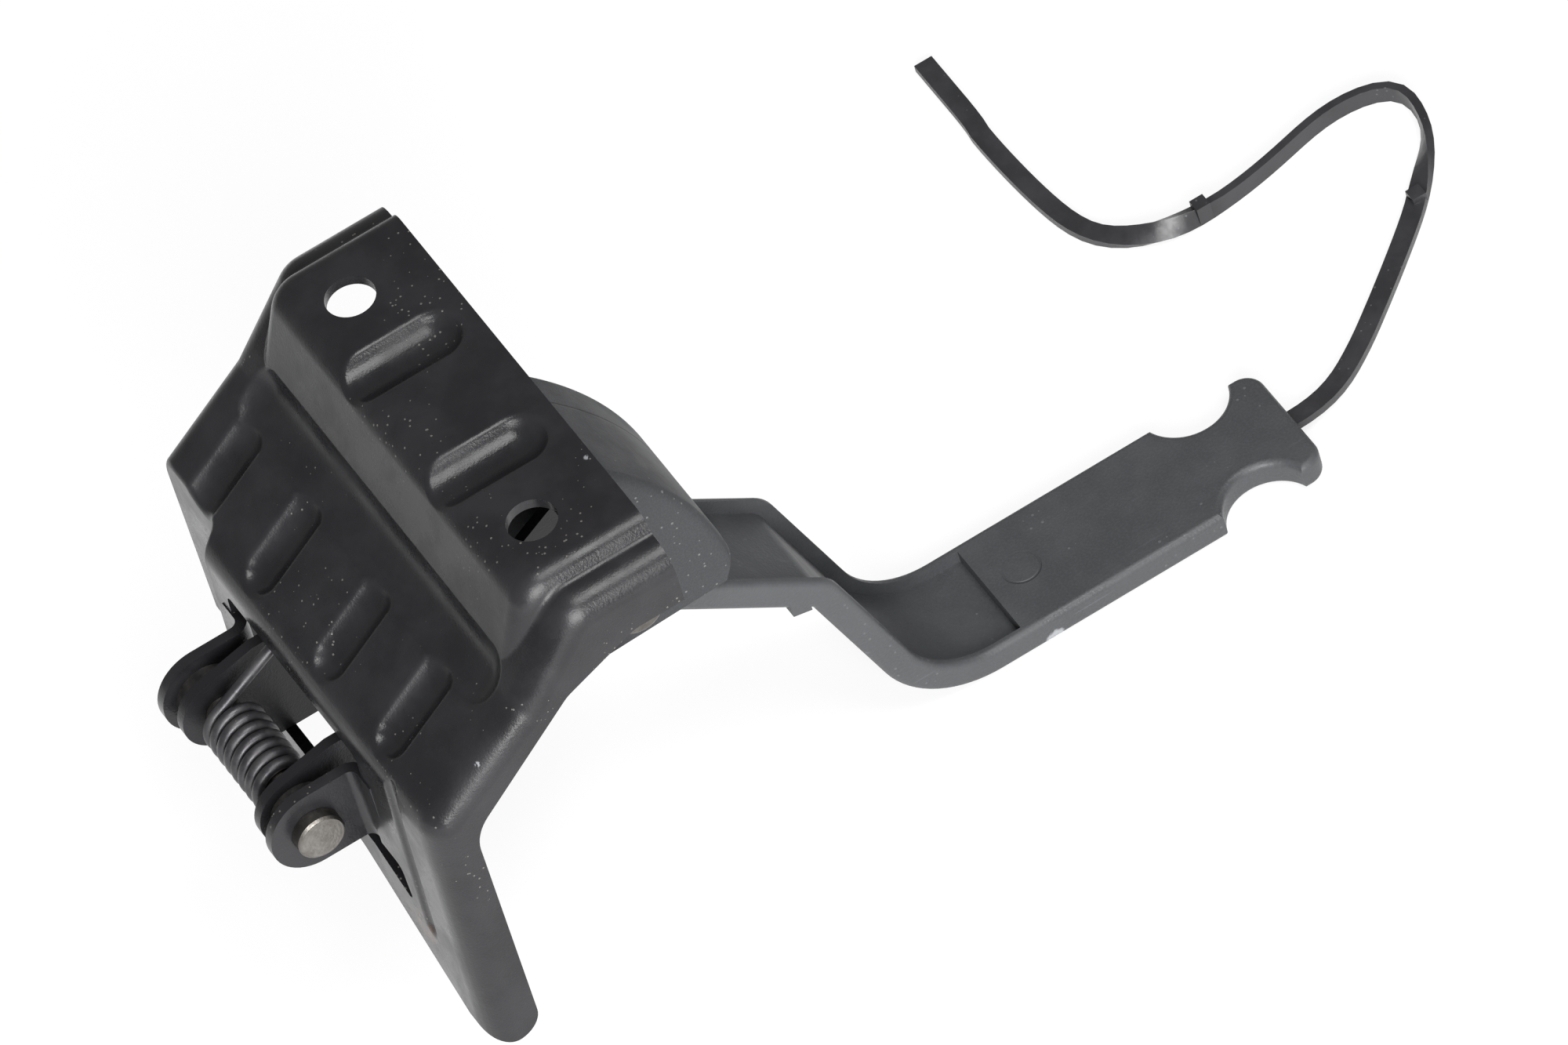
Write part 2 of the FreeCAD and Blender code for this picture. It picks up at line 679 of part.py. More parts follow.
def band(depth0, depth1, x_half):
    """Slab that follows the handle's upper face between two depths under it."""
    upper = shifted_path(handle_path(), depth0)
    lower = shifted_path(handle_path(), depth1)
    points = upper + lower[::-1]
    radii = [0, KNEE_R - depth0, HEEL_R + depth0, 0, 0, HEEL_R + depth1, KNEE_R - depth1, 0]
    return bar_x(points, radii, -x_half, x_half)


def arm_nub():
    """Small wedge under the arm's near edge."""
    slope = math.tan(ARM_SLOPE)
    upper = ARM_ROOT[1] + (NUB_Y - ARM_ROOT[0]) * slope
    under = upper - HANDLE_T / math.cos(ARM_SLOPE)
    wedge = [
        (NUB_Y, under + NUB_H),
        (NUB_Y, under - NUB_H),
        (NUB_Y + NUB_L, under + NUB_L * slope),
        (NUB_Y + NUB_L, under + NUB_L * slope + NUB_H),
    ]
    return bar_x(wedge, [0] * 4, HANDLE_W / 2.0 - NUB_W, HANDLE_W / 2.0)


def make_handle():
    half = HANDLE_W / 2.0
    plan = bar_z(
        [(-half, ARM_ROOT[0] - 10.0), (half, ARM_ROOT[0] - 10.0), (half, PADDLE_END), (-half, PADDLE_END)],
        [0, 0, LOBE_R, LOBE_R],
        PADDLE_HEEL[1] - FAR_OFF,
        FAR_OFF,
    )
    body = band(0.0, HANDLE_T, half).common(plan)
    notch_x = half - NOTCH_DEPTH + NOTCH_R
    notches = []
    for side in (-1, 1):
        base = V(side * notch_x, NOTCH_Y, PADDLE_HEEL[1] - 2 * HANDLE_T)
        notches.append(Part.makeCylinder(NOTCH_R, 4 * HANDLE_T, base))
    body = body.cut(notches)
    outline = []
    for edge in body.Edges:
        box = edge.BoundBox
        upright = box.XLength < 1e-3 and box.YLength < 1e-3
        flat = box.XLength < 1e-3 or box.ZLength < 1e-3
        if flat and not upright and box.YMin > PADDLE_HEEL[0] and edge_turn(body, edge) > RIM_TURN:
            outline.append(edge)
    body = body.makeFillet(EDGE_R, outline)
    body = body.fuse(arm_nub())
    recess = band(-1.0, RECESS_DEPTH, HANDLE_W / 2.0 - RIM)
    keep = Part.makeBox(
        HANDLE_W, RECESS_END - RECESS_START, 4 * FAR_OFF, V(-HANDLE_W / 2.0, RECESS_START, -3 * FAR_OFF)
    )
    body = body.cut(recess.common(keep))
    seat = Part.makeBox(
        STRAP_W + 2 * STRAP_CLEAR,
        2 * STRAP_INSERT,
        STRAP_T + 2 * STRAP_CLEAR,
        V(
            -STRAP_W / 2.0 - STRAP_CLEAR,
            PADDLE_END - STRAP_INSERT,
            PADDLE_HEEL[1] - HANDLE_T / 2.0 - STRAP_T / 2.0 - STRAP_CLEAR,
        ),
    )
    return body.cut([seat, stud_hole(0), stud_hole(1)])


def strap_curve():
    """Plan of the strap's centreline, from the paddle's end to the free end."""
    points = [V(0, PADDLE_END + STRAP_CLEAR, 0)]
    for x, y in STRAP_ROUTE:
        points.append(V(x, PADDLE_END + y, 0))
    curve = Part.BSplineCurve()
    curve.interpolate(points, InitialTangent=V(0, 1, 0), FinalTangent=V(-1, 0, 0))
    return curve


def eased(value, low, high):
    """0 below low, 1 above high, and a smooth rise between."""
    t = min(max((value - low) / (high - low), 0.0), 1.0)
    return t * t * (3.0 - 2.0 * t)


def strap_section(curve, run, width, thick, lift=0.0):
    """Rectangle across the strap: flat at both ends of its run, on its edge round the loop."""
    first, second, third, fourth = STRAP_TURNS_AT
    turn = math.pi / 2.0 * (eased(run, first, second) - eased(run, third, fourth))
    at = curve.parameterAtDistance(run) if run > 0 else curve.FirstParameter
    tangent = curve.tangent(at)[0]
    across = V(tangent.y, -tangent.x, 0)
    wide = across * math.cos(turn) + V(0, 0, 1) * math.sin(turn)
    deep = V(0, 0, 1) * math.cos(turn) - across * math.sin(turn)
    rest = STRAP_W / 2.0 * math.sin(turn) + STRAP_T / 2.0 * math.cos(turn)
    floor = PADDLE_HEEL[1] - HANDLE_T
    drop = (HANDLE_T / 2.0 - rest) * (1.0 - eased(run, 0.0, first / 2.0))
    centre = curve.value(at) + V(0, 0, floor + rest + drop + lift)
    signs = ((-1, -1), (1, -1), (1, 1), (-1, 1))
    corners = [centre + wide * (a * width / 2.0) + deep * (b * thick / 2.0) for a, b in signs]
    return Part.makePolygon(corners + [corners[0]])


def strap_nub(curve, run):
    """Square nub standing up from the strap, at a run from the paddle."""
    box = strap_section(curve, run, STRAP_W, STRAP_T).BoundBox
    half = STRAP_NUB_L / 2.0
    place = V(box.Center.x - half, box.Center.y - half, box.ZMin + STRAP_NUB)
    return Part.makeBox(2.0 * half, 2.0 * half, box.ZLength, place)


def make_strap():
    curve = strap_curve()
    length = curve.length()
    count = int(length / STRAP_STEP)
    sections = [strap_section(curve, length * i / count, STRAP_W, STRAP_T) for i in range(count + 1)]
    root = sections[0].copy()
    root.translate(V(0, -STRAP_INSERT, 0))
    strip = Part.makeLoft([root] + sections, True, True)
    return strip.fuse([strap_nub(curve, run) for run in STRAP_NUBS_AT])


NODES = {
    "bracket": make_bracket,
    "pivot_pin": make_pin,
    "washer_near": make_washer,
    "washer_far": lambda: mirrored(make_washer()),
    "torsion_spring": make_spring,
    "lever": make_lever,
    "handle": make_handle,
    "handle_stud_rear": lambda: make_stud(0),
    "handle_stud_front": lambda: make_stud(1),
    "pull_strap": make_strap,
}

os.makedirs("parts", exist_ok=True)
for name, make in NODES.items():
    shape = make()
    shape.exportStep("parts/" + name + ".step")
    print(name, shape.isValid(), len(shape.Solids), round(shape.Volume, 1))
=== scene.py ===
import bpy
import json
import math
from mathutils import Matrix, Vector

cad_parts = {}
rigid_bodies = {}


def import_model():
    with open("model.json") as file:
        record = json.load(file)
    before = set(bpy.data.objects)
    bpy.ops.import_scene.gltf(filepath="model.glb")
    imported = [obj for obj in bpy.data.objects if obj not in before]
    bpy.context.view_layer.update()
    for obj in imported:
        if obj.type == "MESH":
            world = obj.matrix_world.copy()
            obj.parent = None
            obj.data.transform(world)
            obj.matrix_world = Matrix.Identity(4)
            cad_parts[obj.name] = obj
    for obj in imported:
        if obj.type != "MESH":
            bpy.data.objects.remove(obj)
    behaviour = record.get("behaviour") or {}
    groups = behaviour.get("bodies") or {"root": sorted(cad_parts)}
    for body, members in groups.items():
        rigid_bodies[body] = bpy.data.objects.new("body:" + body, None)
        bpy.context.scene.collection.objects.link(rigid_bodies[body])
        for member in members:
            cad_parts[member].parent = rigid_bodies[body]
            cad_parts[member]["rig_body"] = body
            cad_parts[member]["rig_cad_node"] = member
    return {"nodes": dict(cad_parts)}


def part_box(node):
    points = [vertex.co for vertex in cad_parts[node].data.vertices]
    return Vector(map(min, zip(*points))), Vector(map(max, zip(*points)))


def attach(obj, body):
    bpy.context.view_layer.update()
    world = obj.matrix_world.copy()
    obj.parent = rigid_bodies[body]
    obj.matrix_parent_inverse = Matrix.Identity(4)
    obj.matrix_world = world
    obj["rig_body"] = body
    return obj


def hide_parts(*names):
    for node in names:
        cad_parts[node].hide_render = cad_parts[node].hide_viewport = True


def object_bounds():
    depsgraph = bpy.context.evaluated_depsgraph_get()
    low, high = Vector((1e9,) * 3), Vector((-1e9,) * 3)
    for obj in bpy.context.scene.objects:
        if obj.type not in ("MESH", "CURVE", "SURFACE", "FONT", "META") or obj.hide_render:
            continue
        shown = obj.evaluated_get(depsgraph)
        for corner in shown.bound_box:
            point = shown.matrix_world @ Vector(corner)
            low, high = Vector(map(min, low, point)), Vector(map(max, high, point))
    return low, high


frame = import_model()
CAD_BOX = [list(corner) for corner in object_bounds()]

# The photograph's view: object directions that run right, up and out of the picture.
RIGHT = Vector((0.494, 0.845, -0.204)).normalized()
OUT = Vector((0.631, -0.187, 0.753))
OUT = (OUT - RIGHT * OUT.dot(RIGHT)).normalized()
UP = OUT.cross(RIGHT)
FRAME_WIDTH = 0.250
ORIGIN_LEFT = 0.0548
ORIGIN_ABOVE = 0.0183
CAMERA_RANGE = 3.0
FLOOR_Z = CAD_BOX[0][2] - 0.0002

# The pivot pin's axis, in metres.
PIN_Y = -0.0477
PIN_Z = -0.0510

# Places of marks on the finishes, in millimetres.
RUST_PLACE = (31.0, -39.1, -71.5)
SHOULDER_CHIP = (46.5, -26.0, -25.3)
EDGE_CHIP = (24.5, 13.4, 0.0)
SCUFF_PLACE = (12.0, 83.2, -114.6)
EJECTOR_PLACE = (-0.6, 84.9, -109.5)
SEAM_X = -5.5
EJECTOR_RADIUS = 3.3

# Heights of fine relief, in metres.
FINE = 0.00002
LIGHT = 0.00006
CLEAR = 0.00025


def colour(value):
    """sRGB hex digits as a linear colour."""
    parts = [int(value[i:i + 2], 16) / 255.0 for i in (0, 2, 4)]
    linear = [c / 12.92 if c <= 0.04045 else ((c + 0.055) / 1.055) ** 2.4 for c in parts]
    return (*linear, 1.0)


# Node groups that several finishes share.

def new_group(name, inputs, outputs):
    group = bpy.data.node_groups.new(name, "ShaderNodeTree")
    for label, kind, value in inputs:
        socket = group.interface.new_socket(name=label, in_out="INPUT", socket_type=kind)
        socket.default_value = value
    for label, kind in outputs:
        group.interface.new_socket(name=label, in_out="OUTPUT", socket_type=kind)
    start = group.nodes.new("NodeGroupInput")
    end = group.nodes.new("NodeGroupOutput")
    return group, start.outputs, end.inputs


def add(tree, kind, settings=None, **values):
    """One node, with its settings and its inputs: numbers are set and sockets are linked."""
    node = tree.nodes.new(kind)
    for key, value in (settings or {}).items():
        setattr(node, key, value)
    for key, value in values.items():
        socket = node.inputs[int(key[1:])] if key[0] == "i" and key[1:].isdigit() else node.inputs[key]
        if isinstance(value, bpy.types.NodeSocket):
            tree.links.new(value, socket)
        else:
            socket.default_value = value
    return node


def object_place(tree):
    return add(tree, "ShaderNodeTexCoord").outputs["Object"]


def maths(tree, operation, a, b=0.0, clamp=False):
    node = add(tree, "ShaderNodeMath", {"operation": operation, "use_clamp": clamp}, i0=a, i1=b)
    return node.outputs[0]


def ramp(tree, value, low, high, to_low=0.0, to_high=1.0):
    node = add(tree, "ShaderNodeMapRange", {"interpolation_type": "SMOOTHSTEP"}, i0=value)
    for index, number in enumerate((low, high, to_low, to_high)):
        if isinstance(number, bpy.types.NodeSocket):
            tree.links.new(number, node.inputs[index + 1])
        else:
            node.inputs[index + 1].default_value = number
    return node.outputs[0]


def mix(tree, factor, a, b):
    node = add(tree, "ShaderNodeMix", {"data_type": "RGBA"})
    for index, value in ((0, factor), (6, a), (7, b)):
        if isinstance(value, bpy.types.NodeSocket):
            tree.links.new(value, node.inputs[index])
        else:
            node.inputs[index].default_value = value
    return node.outputs[2]


def noise(tree, place, scale, detail=3.0, roughness=0.5):
    node = add(
        tree, "ShaderNodeTexNoise", None, Vector=place, Detail=detail, Roughness=roughness, Scale=scale
    )
    return node.outputs["Fac"]


def soiling_group():
    """Cloudy tone, dust specks and thin smears over a finish."""
    group, start, end = new_group(
        "soiling",
        [
            ("Finish", "NodeSocketColor", (0.02, 0.02, 0.02, 1.0)),
            ("Cloud", "NodeSocketColor", (0.03, 0.03, 0.03, 1.0)),
            ("Cloud Size", "NodeSocketFloat", 60.0),
            ("Cloud Amount", "NodeSocketFloat", 0.5),
            ("Dust", "NodeSocketColor", (0.2, 0.19, 0.17, 1.0)),
            ("Dust Size", "NodeSocketFloat", 420.0),
            ("Dust Amount", "NodeSocketFloat", 0.3),
            ("Gloss Low", "NodeSocketFloat", 0.3),
            ("Gloss High", "NodeSocketFloat", 0.5),
        ],
        [("Colour", "NodeSocketColor"), ("Roughness", "NodeSocketFloat"), ("Specks", "NodeSocketFloat")],
    )
    place = object_place(group)
    cloud = noise(group, place, start["Cloud Size"], 4.0, 0.6)
    cloud = ramp(group, cloud, 0.35, 0.68)
    share = maths(group, "MULTIPLY", cloud, start["Cloud Amount"])
    tone = mix(group, share, start["Finish"], start["Cloud"])
    cells = add(group, "ShaderNodeTexVoronoi", {"feature": "F1"}, Vector=place, Scale=start["Dust Size"])
    patches = ramp(group, noise(group, place, 45.0, 2.0), 0.44, 0.62)
    reach = maths(group, "MULTIPLY", patches, 0.22)
    speck = maths(group, "LESS_THAN", cells.outputs["Distance"], reach)
    pick = add(group, "ShaderNodeSeparateColor", None, Color=cells.outputs["Color"]).outputs[0]
    speck = maths(group, "MULTIPLY", speck, maths(group, "GREATER_THAN", pick, 0.7))
    speck = maths(group, "MULTIPLY", speck, start["Dust Amount"])
    result = mix(group, speck, tone, start["Dust"])
    fine = noise(group, place, 220.0, 3.0, 0.6)
    both = maths(group, "ADD", maths(group, "MULTIPLY", fine, 0.5), maths(group, "MULTIPLY", cloud, 0.5))
    rough = ramp(group, both, 0.2, 0.8, start["Gloss Low"], start["Gloss High"])
    group.links.new(result, end["Colour"])
    group.links.new(maths(group, "ADD", rough, maths(group, "MULTIPLY", speck, 0.4), True), end["Roughness"])
    group.links.new(speck, end["Specks"])
    return group


def grain_group():
    """Fine relief: the texture of a moulding tool or of a dipped coat."""
    group, start, end = new_group(
        "grain",
        [
            ("Size", "NodeSocketFloat", 1800.0),
            ("Coarse Size", "NodeSocketFloat", 260.0),
            ("Coarse Share", "NodeSocketFloat", 0.4),
        ],
        [("Height", "NodeSocketFloat"), ("Grain", "NodeSocketFloat")],
    )
    place = object_place(group)
    fine = noise(group, place, start["Size"], 2.0, 0.5)
    coarse = noise(group, place, start["Coarse Size"], 2.0, 0.5)
    rest = maths(group, "SUBTRACT", 1.0, start["Coarse Share"])
    fine_part = maths(group, "MULTIPLY", fine, rest)
    coarse_part = maths(group, "MULTIPLY", coarse, start["Coarse Share"])
    group.links.new(maths(group, "ADD", fine_part, coarse_part), end["Height"])
    group.links.new(fine, end["Grain"])
    return group


def scratch_group():
    """Short light scratches that run along one direction, in places."""
    group, start, end = new_group(
        "scratches",
        [
            ("Stretch", "NodeSocketVector", (1.0, 0.05, 1.0)),
            ("Turn", "NodeSocketVector", (0.0, 0.0, 0.3)),
            ("Density", "NodeSocketFloat", 700.0),
            ("Amount", "NodeSocketFloat", 0.5),
        ],
        [("Mask", "NodeSocketFloat")],
    )
    place = object_place(group)
    turned = add(
        group, "ShaderNodeMapping", None, Vector=place, Rotation=start["Turn"], Scale=start["Stretch"]
    )
    lines = noise(group, turned.outputs[0], start["Density"], 1.0, 0.4)
    lines = ramp(group, lines, 0.70, 0.74)
    places = ramp(group, noise(group, place, 38.0, 2.0), 0.52, 0.66)
    mask = maths(group, "MULTIPLY", maths(group, "MULTIPLY", lines, places), start["Amount"], True)
    group.links.new(mask, end["Mask"])
    return group


SOILING = soiling_group()
GRAIN = grain_group()
SCRATCHES = scratch_group()


# Finishes.

def new_finish(name, metallic=0.0, **settings):
    material = bpy.data.materials.new(name)
    material.use_nodes = True
    tree = material.node_tree
    shader = tree.nodes["Principled BSDF"]
    shader.inputs["Metallic"].default_value = metallic
    for key, value in settings.items():
        shader.inputs[key.replace("_", " ")].default_value = value
    return material, tree, shader


def use_group(tree, group, **values):
    node = tree.nodes.new("ShaderNodeGroup")
    node.node_tree = group
    for key, value in values.items():
        socket = node.inputs[key.replace("_", " ")]
        if isinstance(value, bpy.types.NodeSocket):
            tree.links.new(value, socket)
        else:
            socket.default_value = value
    return node.outputs


def ball(tree, centre, inner, outer):
    """1 near a point and 0 away from it, millimetres in the object's frame."""
    point = Vector(centre) * 0.001
    gap = add(tree, "ShaderNodeVectorMath", {"operation": "DISTANCE"}, i0=object_place(tree), i1=point)
    return ramp(tree, gap.outputs["Value"], inner * 0.001, outer * 0.001, 1.0, 0.0)


def along(tree, axis):
    parts = add(tree, "ShaderNodeSeparateXYZ", None, Vector=object_place(tree))
    return parts.outputs[axis]


def line(tree, axis, at, half, soft):
    """1 on a thin band across one axis, millimetres."""
    gap = maths(tree, "ABSOLUTE", maths(tree, "SUBTRACT", along(tree, axis), at * 0.001))
    return ramp(tree, gap, half * 0.001, (half + soft) * 0.001, 1.0, 0.0)


def relief(tree, shader, height, depth, before=None):
    bump = add(tree, "ShaderNodeBump", None, Height=height)
    bump.inputs["Strength"].default_value = 1.0
    bump.inputs["Distance"].default_value = depth
    if before is not None:
        tree.links.new(before, bump.inputs["Normal"])
    tree.links.new(bump.outputs[0], shader.inputs["Normal"])
    return bump.outputs[0]


def coated_steel():
    """Black dipped coat on pressed steel: satin gloss, dust, and brown where it is thin."""
    material, tree, shader = new_finish("coated_steel", 0.0)
    shader.inputs["Specular IOR Level"].default_value = 0.3
    soil = use_group(
        tree, SOILING, Finish=colour("161618"), Cloud=colour("202022"), Cloud_Size=70.0, Cloud_Amount=0.8,
        Dust=colour("77746c"), Dust_Size=1150.0, Dust_Amount=0.42, Gloss_Low=0.24, Gloss_High=0.37,
    )
    worn = colour("4c3b2e")
    ragged = ramp(tree, noise(tree, object_place(tree), 500.0), 0.42, 0.6)
    rust = maths(tree, "MULTIPLY", ball(tree, RUST_PLACE, 1.0, 6.5), ragged)
    rust = maths(tree, "MULTIPLY", rust, 0.85)
    tone = mix(tree, rust, soil["Colour"], worn)
    chips = maths(tree, "MAXIMUM", ball(tree, SHOULDER_CHIP, 0.25, 0.6), ball(tree, EDGE_CHIP, 0.3, 0.6))
    broken = ramp(tree, noise(tree, object_place(tree), 1700.0), 0.42, 0.54, 0.0, 0.7)
    chips = maths(tree, "MULTIPLY", chips, broken)
    tone = mix(tree, chips, tone, colour("86888b"))
    grain = use_group(tree, GRAIN, Size=2600.0, Coarse_Size=420.0, Coarse_Share=0.5)
    tree.links.new(tone, shader.inputs["Base Color"])
    tree.links.new(soil["Roughness"], shader.inputs["Roughness"])
    first = relief(tree, shader, grain["Height"], LIGHT)
    relief(tree, shader, soil["Specks"], FINE, first)
    return material


def grey_steel():
    """Blasted grey steel of the lever, with painted shade and a glossier finish towards the pivot, where it
    lies under the bracket's flange.
    """
    material, tree, shader = new_finish("grey_steel", 0.0)
    shader.inputs["Specular IOR Level"].default_value = 0.22
    soil = use_group(
        tree, SOILING, Finish=colour("27282a"), Cloud=colour("303133"), Cloud_Size=40.0, Cloud_Amount=0.7,
        Dust=colour("8f8f8d"), Dust_Size=900.0, Dust_Amount=0.35, Gloss_Low=0.5, Gloss_High=0.66,
    )
    grain = use_group(tree, GRAIN, Size=3000.0, Coarse_Size=900.0, Coarse_Share=0.4)
    mottled = mix(tree, ramp(tree, grain["Grain"], 0.4, 0.66, 0.0, 0.35), soil["Colour"], colour("3a3b3d"))
    # Painted shade: the lever is darkened to near black where it lies under the bracket's flange, towards
    # the pivot.
    shade_under_flange = ramp(tree, along(tree, 1), 0.010, 0.016, 1.0, 0.0)
    mottled = mix(tree, shade_under_flange, mottled, colour("161618"))
    ahead = ramp(tree, along(tree, 1), 0.015, 0.019)
    seam = maths(tree, "MULTIPLY", line(tree, 0, SEAM_X, 0.12, 0.25), ahead)
    mottled = mix(tree, maths(tree, "MULTIPLY", seam, 0.6), mottled, colour("1a1a1b"))
    tree.links.new(mottled, shader.inputs["Base Color"])
    tree.links.new(ramp(tree, shade_under_flange, 0.0, 1.0, soil["Roughness"], 0.34), shader.inputs["Roughness"])
    first = relief(tree, shader, grain["Height"], LIGHT * 1.2)
    relief(tree, shader, maths(tree, "MULTIPLY", seam, -1.0), CLEAR, first)
    return material


def bare_steel():
    """Turned and peened steel, with rings about the pin's axis."""
    material, tree, shader = new_finish("bare_steel", 1.0)
    parts = add(tree, "ShaderNodeSeparateXYZ", None, Vector=object_place(tree))
    flat = add(tree, "ShaderNodeCombineXYZ", None, i0=0.0, i1=parts.outputs[1], i2=parts.outputs[2])
    axis = Vector((0.0, PIN_Y, PIN_Z))
    gap = add(tree, "ShaderNodeVectorMath", {"operation": "DISTANCE"}, i0=flat.outputs[0], i1=axis)
    wobble = maths(tree, "MULTIPLY", noise(tree, object_place(tree), 900.0, 3.0), 0.0005)
    radius = maths(tree, "ADD", gap.outputs["Value"], wobble)
    rings = maths(tree, "SINE", maths(tree, "MULTIPLY", radius, 9500.0))
    soil = use_group(
        tree, SOILING, Finish=colour("807d79"), Cloud=colour("68645f"), Cloud_Size=420.0, Cloud_Amount=0.8,
        Dust=colour("3a3733"), Dust_Size=2200.0, Dust_Amount=0.5, Gloss_Low=0.36, Gloss_High=0.55,
    )
    tone = mix(tree, ramp(tree, rings, -1.0, 1.0, 0.0, 0.08), soil["Colour"], colour("4c4a47"))
    rim = ramp(tree, gap.outputs["Value"], 0.0036, 0.0043)
    tone = mix(tree, maths(tree, "MULTIPLY", rim, 0.55), tone, colour("3c3a37"))
    tree.links.new(tone, shader.inputs["Base Color"])
    tree.links.new(soil["Roughness"], shader.inputs["Roughness"])
    first = relief(tree, shader, rings, FINE * 0.12)
    relief(tree, shader, noise(tree, object_place(tree), 1300.0, 3.0), LIGHT, first)
    return material


def spring_steel():
    """Oiled black spring wire, with draw marks and grease."""
    material, tree, shader = new_finish("spring_steel", 0.75)
    soil = use_group(
        tree, SOILING, Finish=colour("38373a"), Cloud=colour("4a494a"), Cloud_Size=260.0, Cloud_Amount=0.8,
        Dust=colour("77736b"), Dust_Size=1500.0, Dust_Amount=0.4, Gloss_Low=0.38, Gloss_High=0.56,
    )
    grain = use_group(tree, GRAIN, Size=2500.0, Coarse_Size=700.0, Coarse_Share=0.6)
    tree.links.new(soil["Colour"], shader.inputs["Base Color"])
    tree.links.new(soil["Roughness"], shader.inputs["Roughness"])
    film = ramp(tree, noise(tree, object_place(tree), 300.0, 2.0), 0.4, 0.6, 0.0, 0.25)
    tree.links.new(film, shader.inputs["Coat Weight"])
    shader.inputs["Coat Roughness"].default_value = 0.25
    relief(tree, shader, grain["Height"], LIGHT)
    return material


def handle_plastic():
    """Dark grey grained moulding with an ejector mark whose recessed ring is darkened with painted shade,
    rubbed marks and a pale scuff.
    """
    material, tree, shader = new_finish("handle_plastic", 0.0)
    shader.inputs["Specular IOR Level"].default_value = 0.45
    soil = use_group(
        tree, SOILING, Finish=colour("323335"), Cloud=colour("3a3b3d"), Cloud_Size=55.0, Cloud_Amount=0.7,
        Dust=colour("77787a"), Dust_Size=800.0, Dust_Amount=0.25, Gloss_Low=0.42, Gloss_High=0.56,
    )
    grain = use_group(tree, GRAIN, Size=2100.0, Coarse_Size=800.0, Coarse_Share=0.35)
    rubbed = use_group(
        tree, SCRATCHES, Stretch=(1.0, 0.04, 1.0), Turn=(0.0, 0.0, 0.35), Density=900.0, Amount=0.35
    )
    tone = mix(tree, ramp(tree, grain["Grain"], 0.42, 0.66, 0.0, 0.3), soil["Colour"], colour("3e3f42"))
    tone = mix(tree, rubbed["Mask"], tone, colour("55575b"))
    ragged = noise(tree, object_place(tree), 900.0)
    ragged = maths(tree, "ADD", ragged, ball(tree, SCUFF_PLACE, 0.9, 2.9))
    scuff = maths(tree, "MULTIPLY", ramp(tree, ragged, 0.86, 1.3), 0.75)
    tone = mix(tree, scuff, tone, colour("8f9194"))
    place = object_place(tree)
    centre = Vector(EJECTOR_PLACE) * 0.001
    gap = add(tree, "ShaderNodeVectorMath", {"operation": "DISTANCE"}, i0=place, i1=centre)
    recess_ring_and_shade = maths(tree, "ABSOLUTE", maths(tree, "SUBTRACT", gap.outputs["Value"], EJECTOR_RADIUS * 0.001))
    recess_ring_and_shade = ramp(tree, recess_ring_and_shade, 0.00008, 0.0003, 1.0, 0.0)
    # Painted shade in the ejector mark's recessed ring: darkest on its +X side and faint on its -X side. The
    # same ring also sinks the surface by a bump.
    recess_ring_and_shade = maths(tree, "MULTIPLY", recess_ring_and_shade, ramp(tree, along(tree, 0), -0.0035, 0.0022, 0.1, 1.0))
    tone = mix(tree, maths(tree, "MULTIPLY", recess_ring_and_shade, 0.3), tone, colour("222325"))
    tree.links.new(tone, shader.inputs["Base Color"])
    tree.links.new(soil["Roughness"], shader.inputs["Roughness"])
    first = relief(tree, shader, grain["Height"], LIGHT * 1.3)
    relief(tree, shader, maths(tree, "MULTIPLY", recess_ring_and_shade, -1.0), CLEAR * 0.5, first)
    return material


def strap_plastic():
    """Glossy black moulded strip, with dust and a fine grain."""
    material, tree, shader = new_finish("strap_plastic", 0.0)
    soil = use_group(
        tree, SOILING, Finish=colour("1e1e20"), Cloud=colour("2a2a2d"), Cloud_Size=120.0, Cloud_Amount=0.8,
        Dust=colour("6d6e70"), Dust_Size=1100.0, Dust_Amount=0.3, Gloss_Low=0.34, Gloss_High=0.48,
    )
    grain = use_group(tree, GRAIN, Size=1500.0, Coarse_Size=300.0, Coarse_Share=0.6)
    tree.links.new(soil["Colour"], shader.inputs["Base Color"])
    tree.links.new(soil["Roughness"], shader.inputs["Roughness"])
    relief(tree, shader, grain["Height"], LIGHT * 0.6)
    return material


def dark_washer():
    """Greased dark steel ring."""
    material, tree, shader = new_finish("greased_steel", 0.6)
    soil = use_group(
        tree, SOILING, Finish=colour("2d2c2c"), Cloud=colour("4a4846"), Cloud_Size=300.0, Cloud_Amount=0.8,
        Dust=colour("6b655c"), Dust_Size=1500.0, Dust_Amount=0.4, Gloss_Low=0.3, Gloss_High=0.5,
    )
    grain = use_group(tree, GRAIN, Size=2500.0, Coarse_Size=700.0, Coarse_Share=0.5)
    tree.links.new(soil["Colour"], shader.inputs["Base Color"])
    tree.links.new(soil["Roughness"], shader.inputs["Roughness"])
    relief(tree, shader, grain["Height"], LIGHT)
    return material


FINISHES = {
    "coated_steel": coated_steel(),
    "grey_steel": grey_steel(),
    "bare_steel": bare_steel(),
    "spring_steel": spring_steel(),
    "handle_plastic": handle_plastic(),
    "strap_plastic": strap_plastic(),
}
GREASED = dark_washer()


# Pieces.

def only(piece):
    """Object mode, with this piece alone selected and active."""
    if bpy.context.mode != "OBJECT":
        bpy.ops.object.mode_set(mode="OBJECT")
    bpy.ops.object.select_all(action="DESELECT")
    piece.select_set(True)
    bpy.context.view_layer.objects.active = piece


def paint(piece, material):
    piece.data.materials.clear()
    piece.data.materials.append(material)


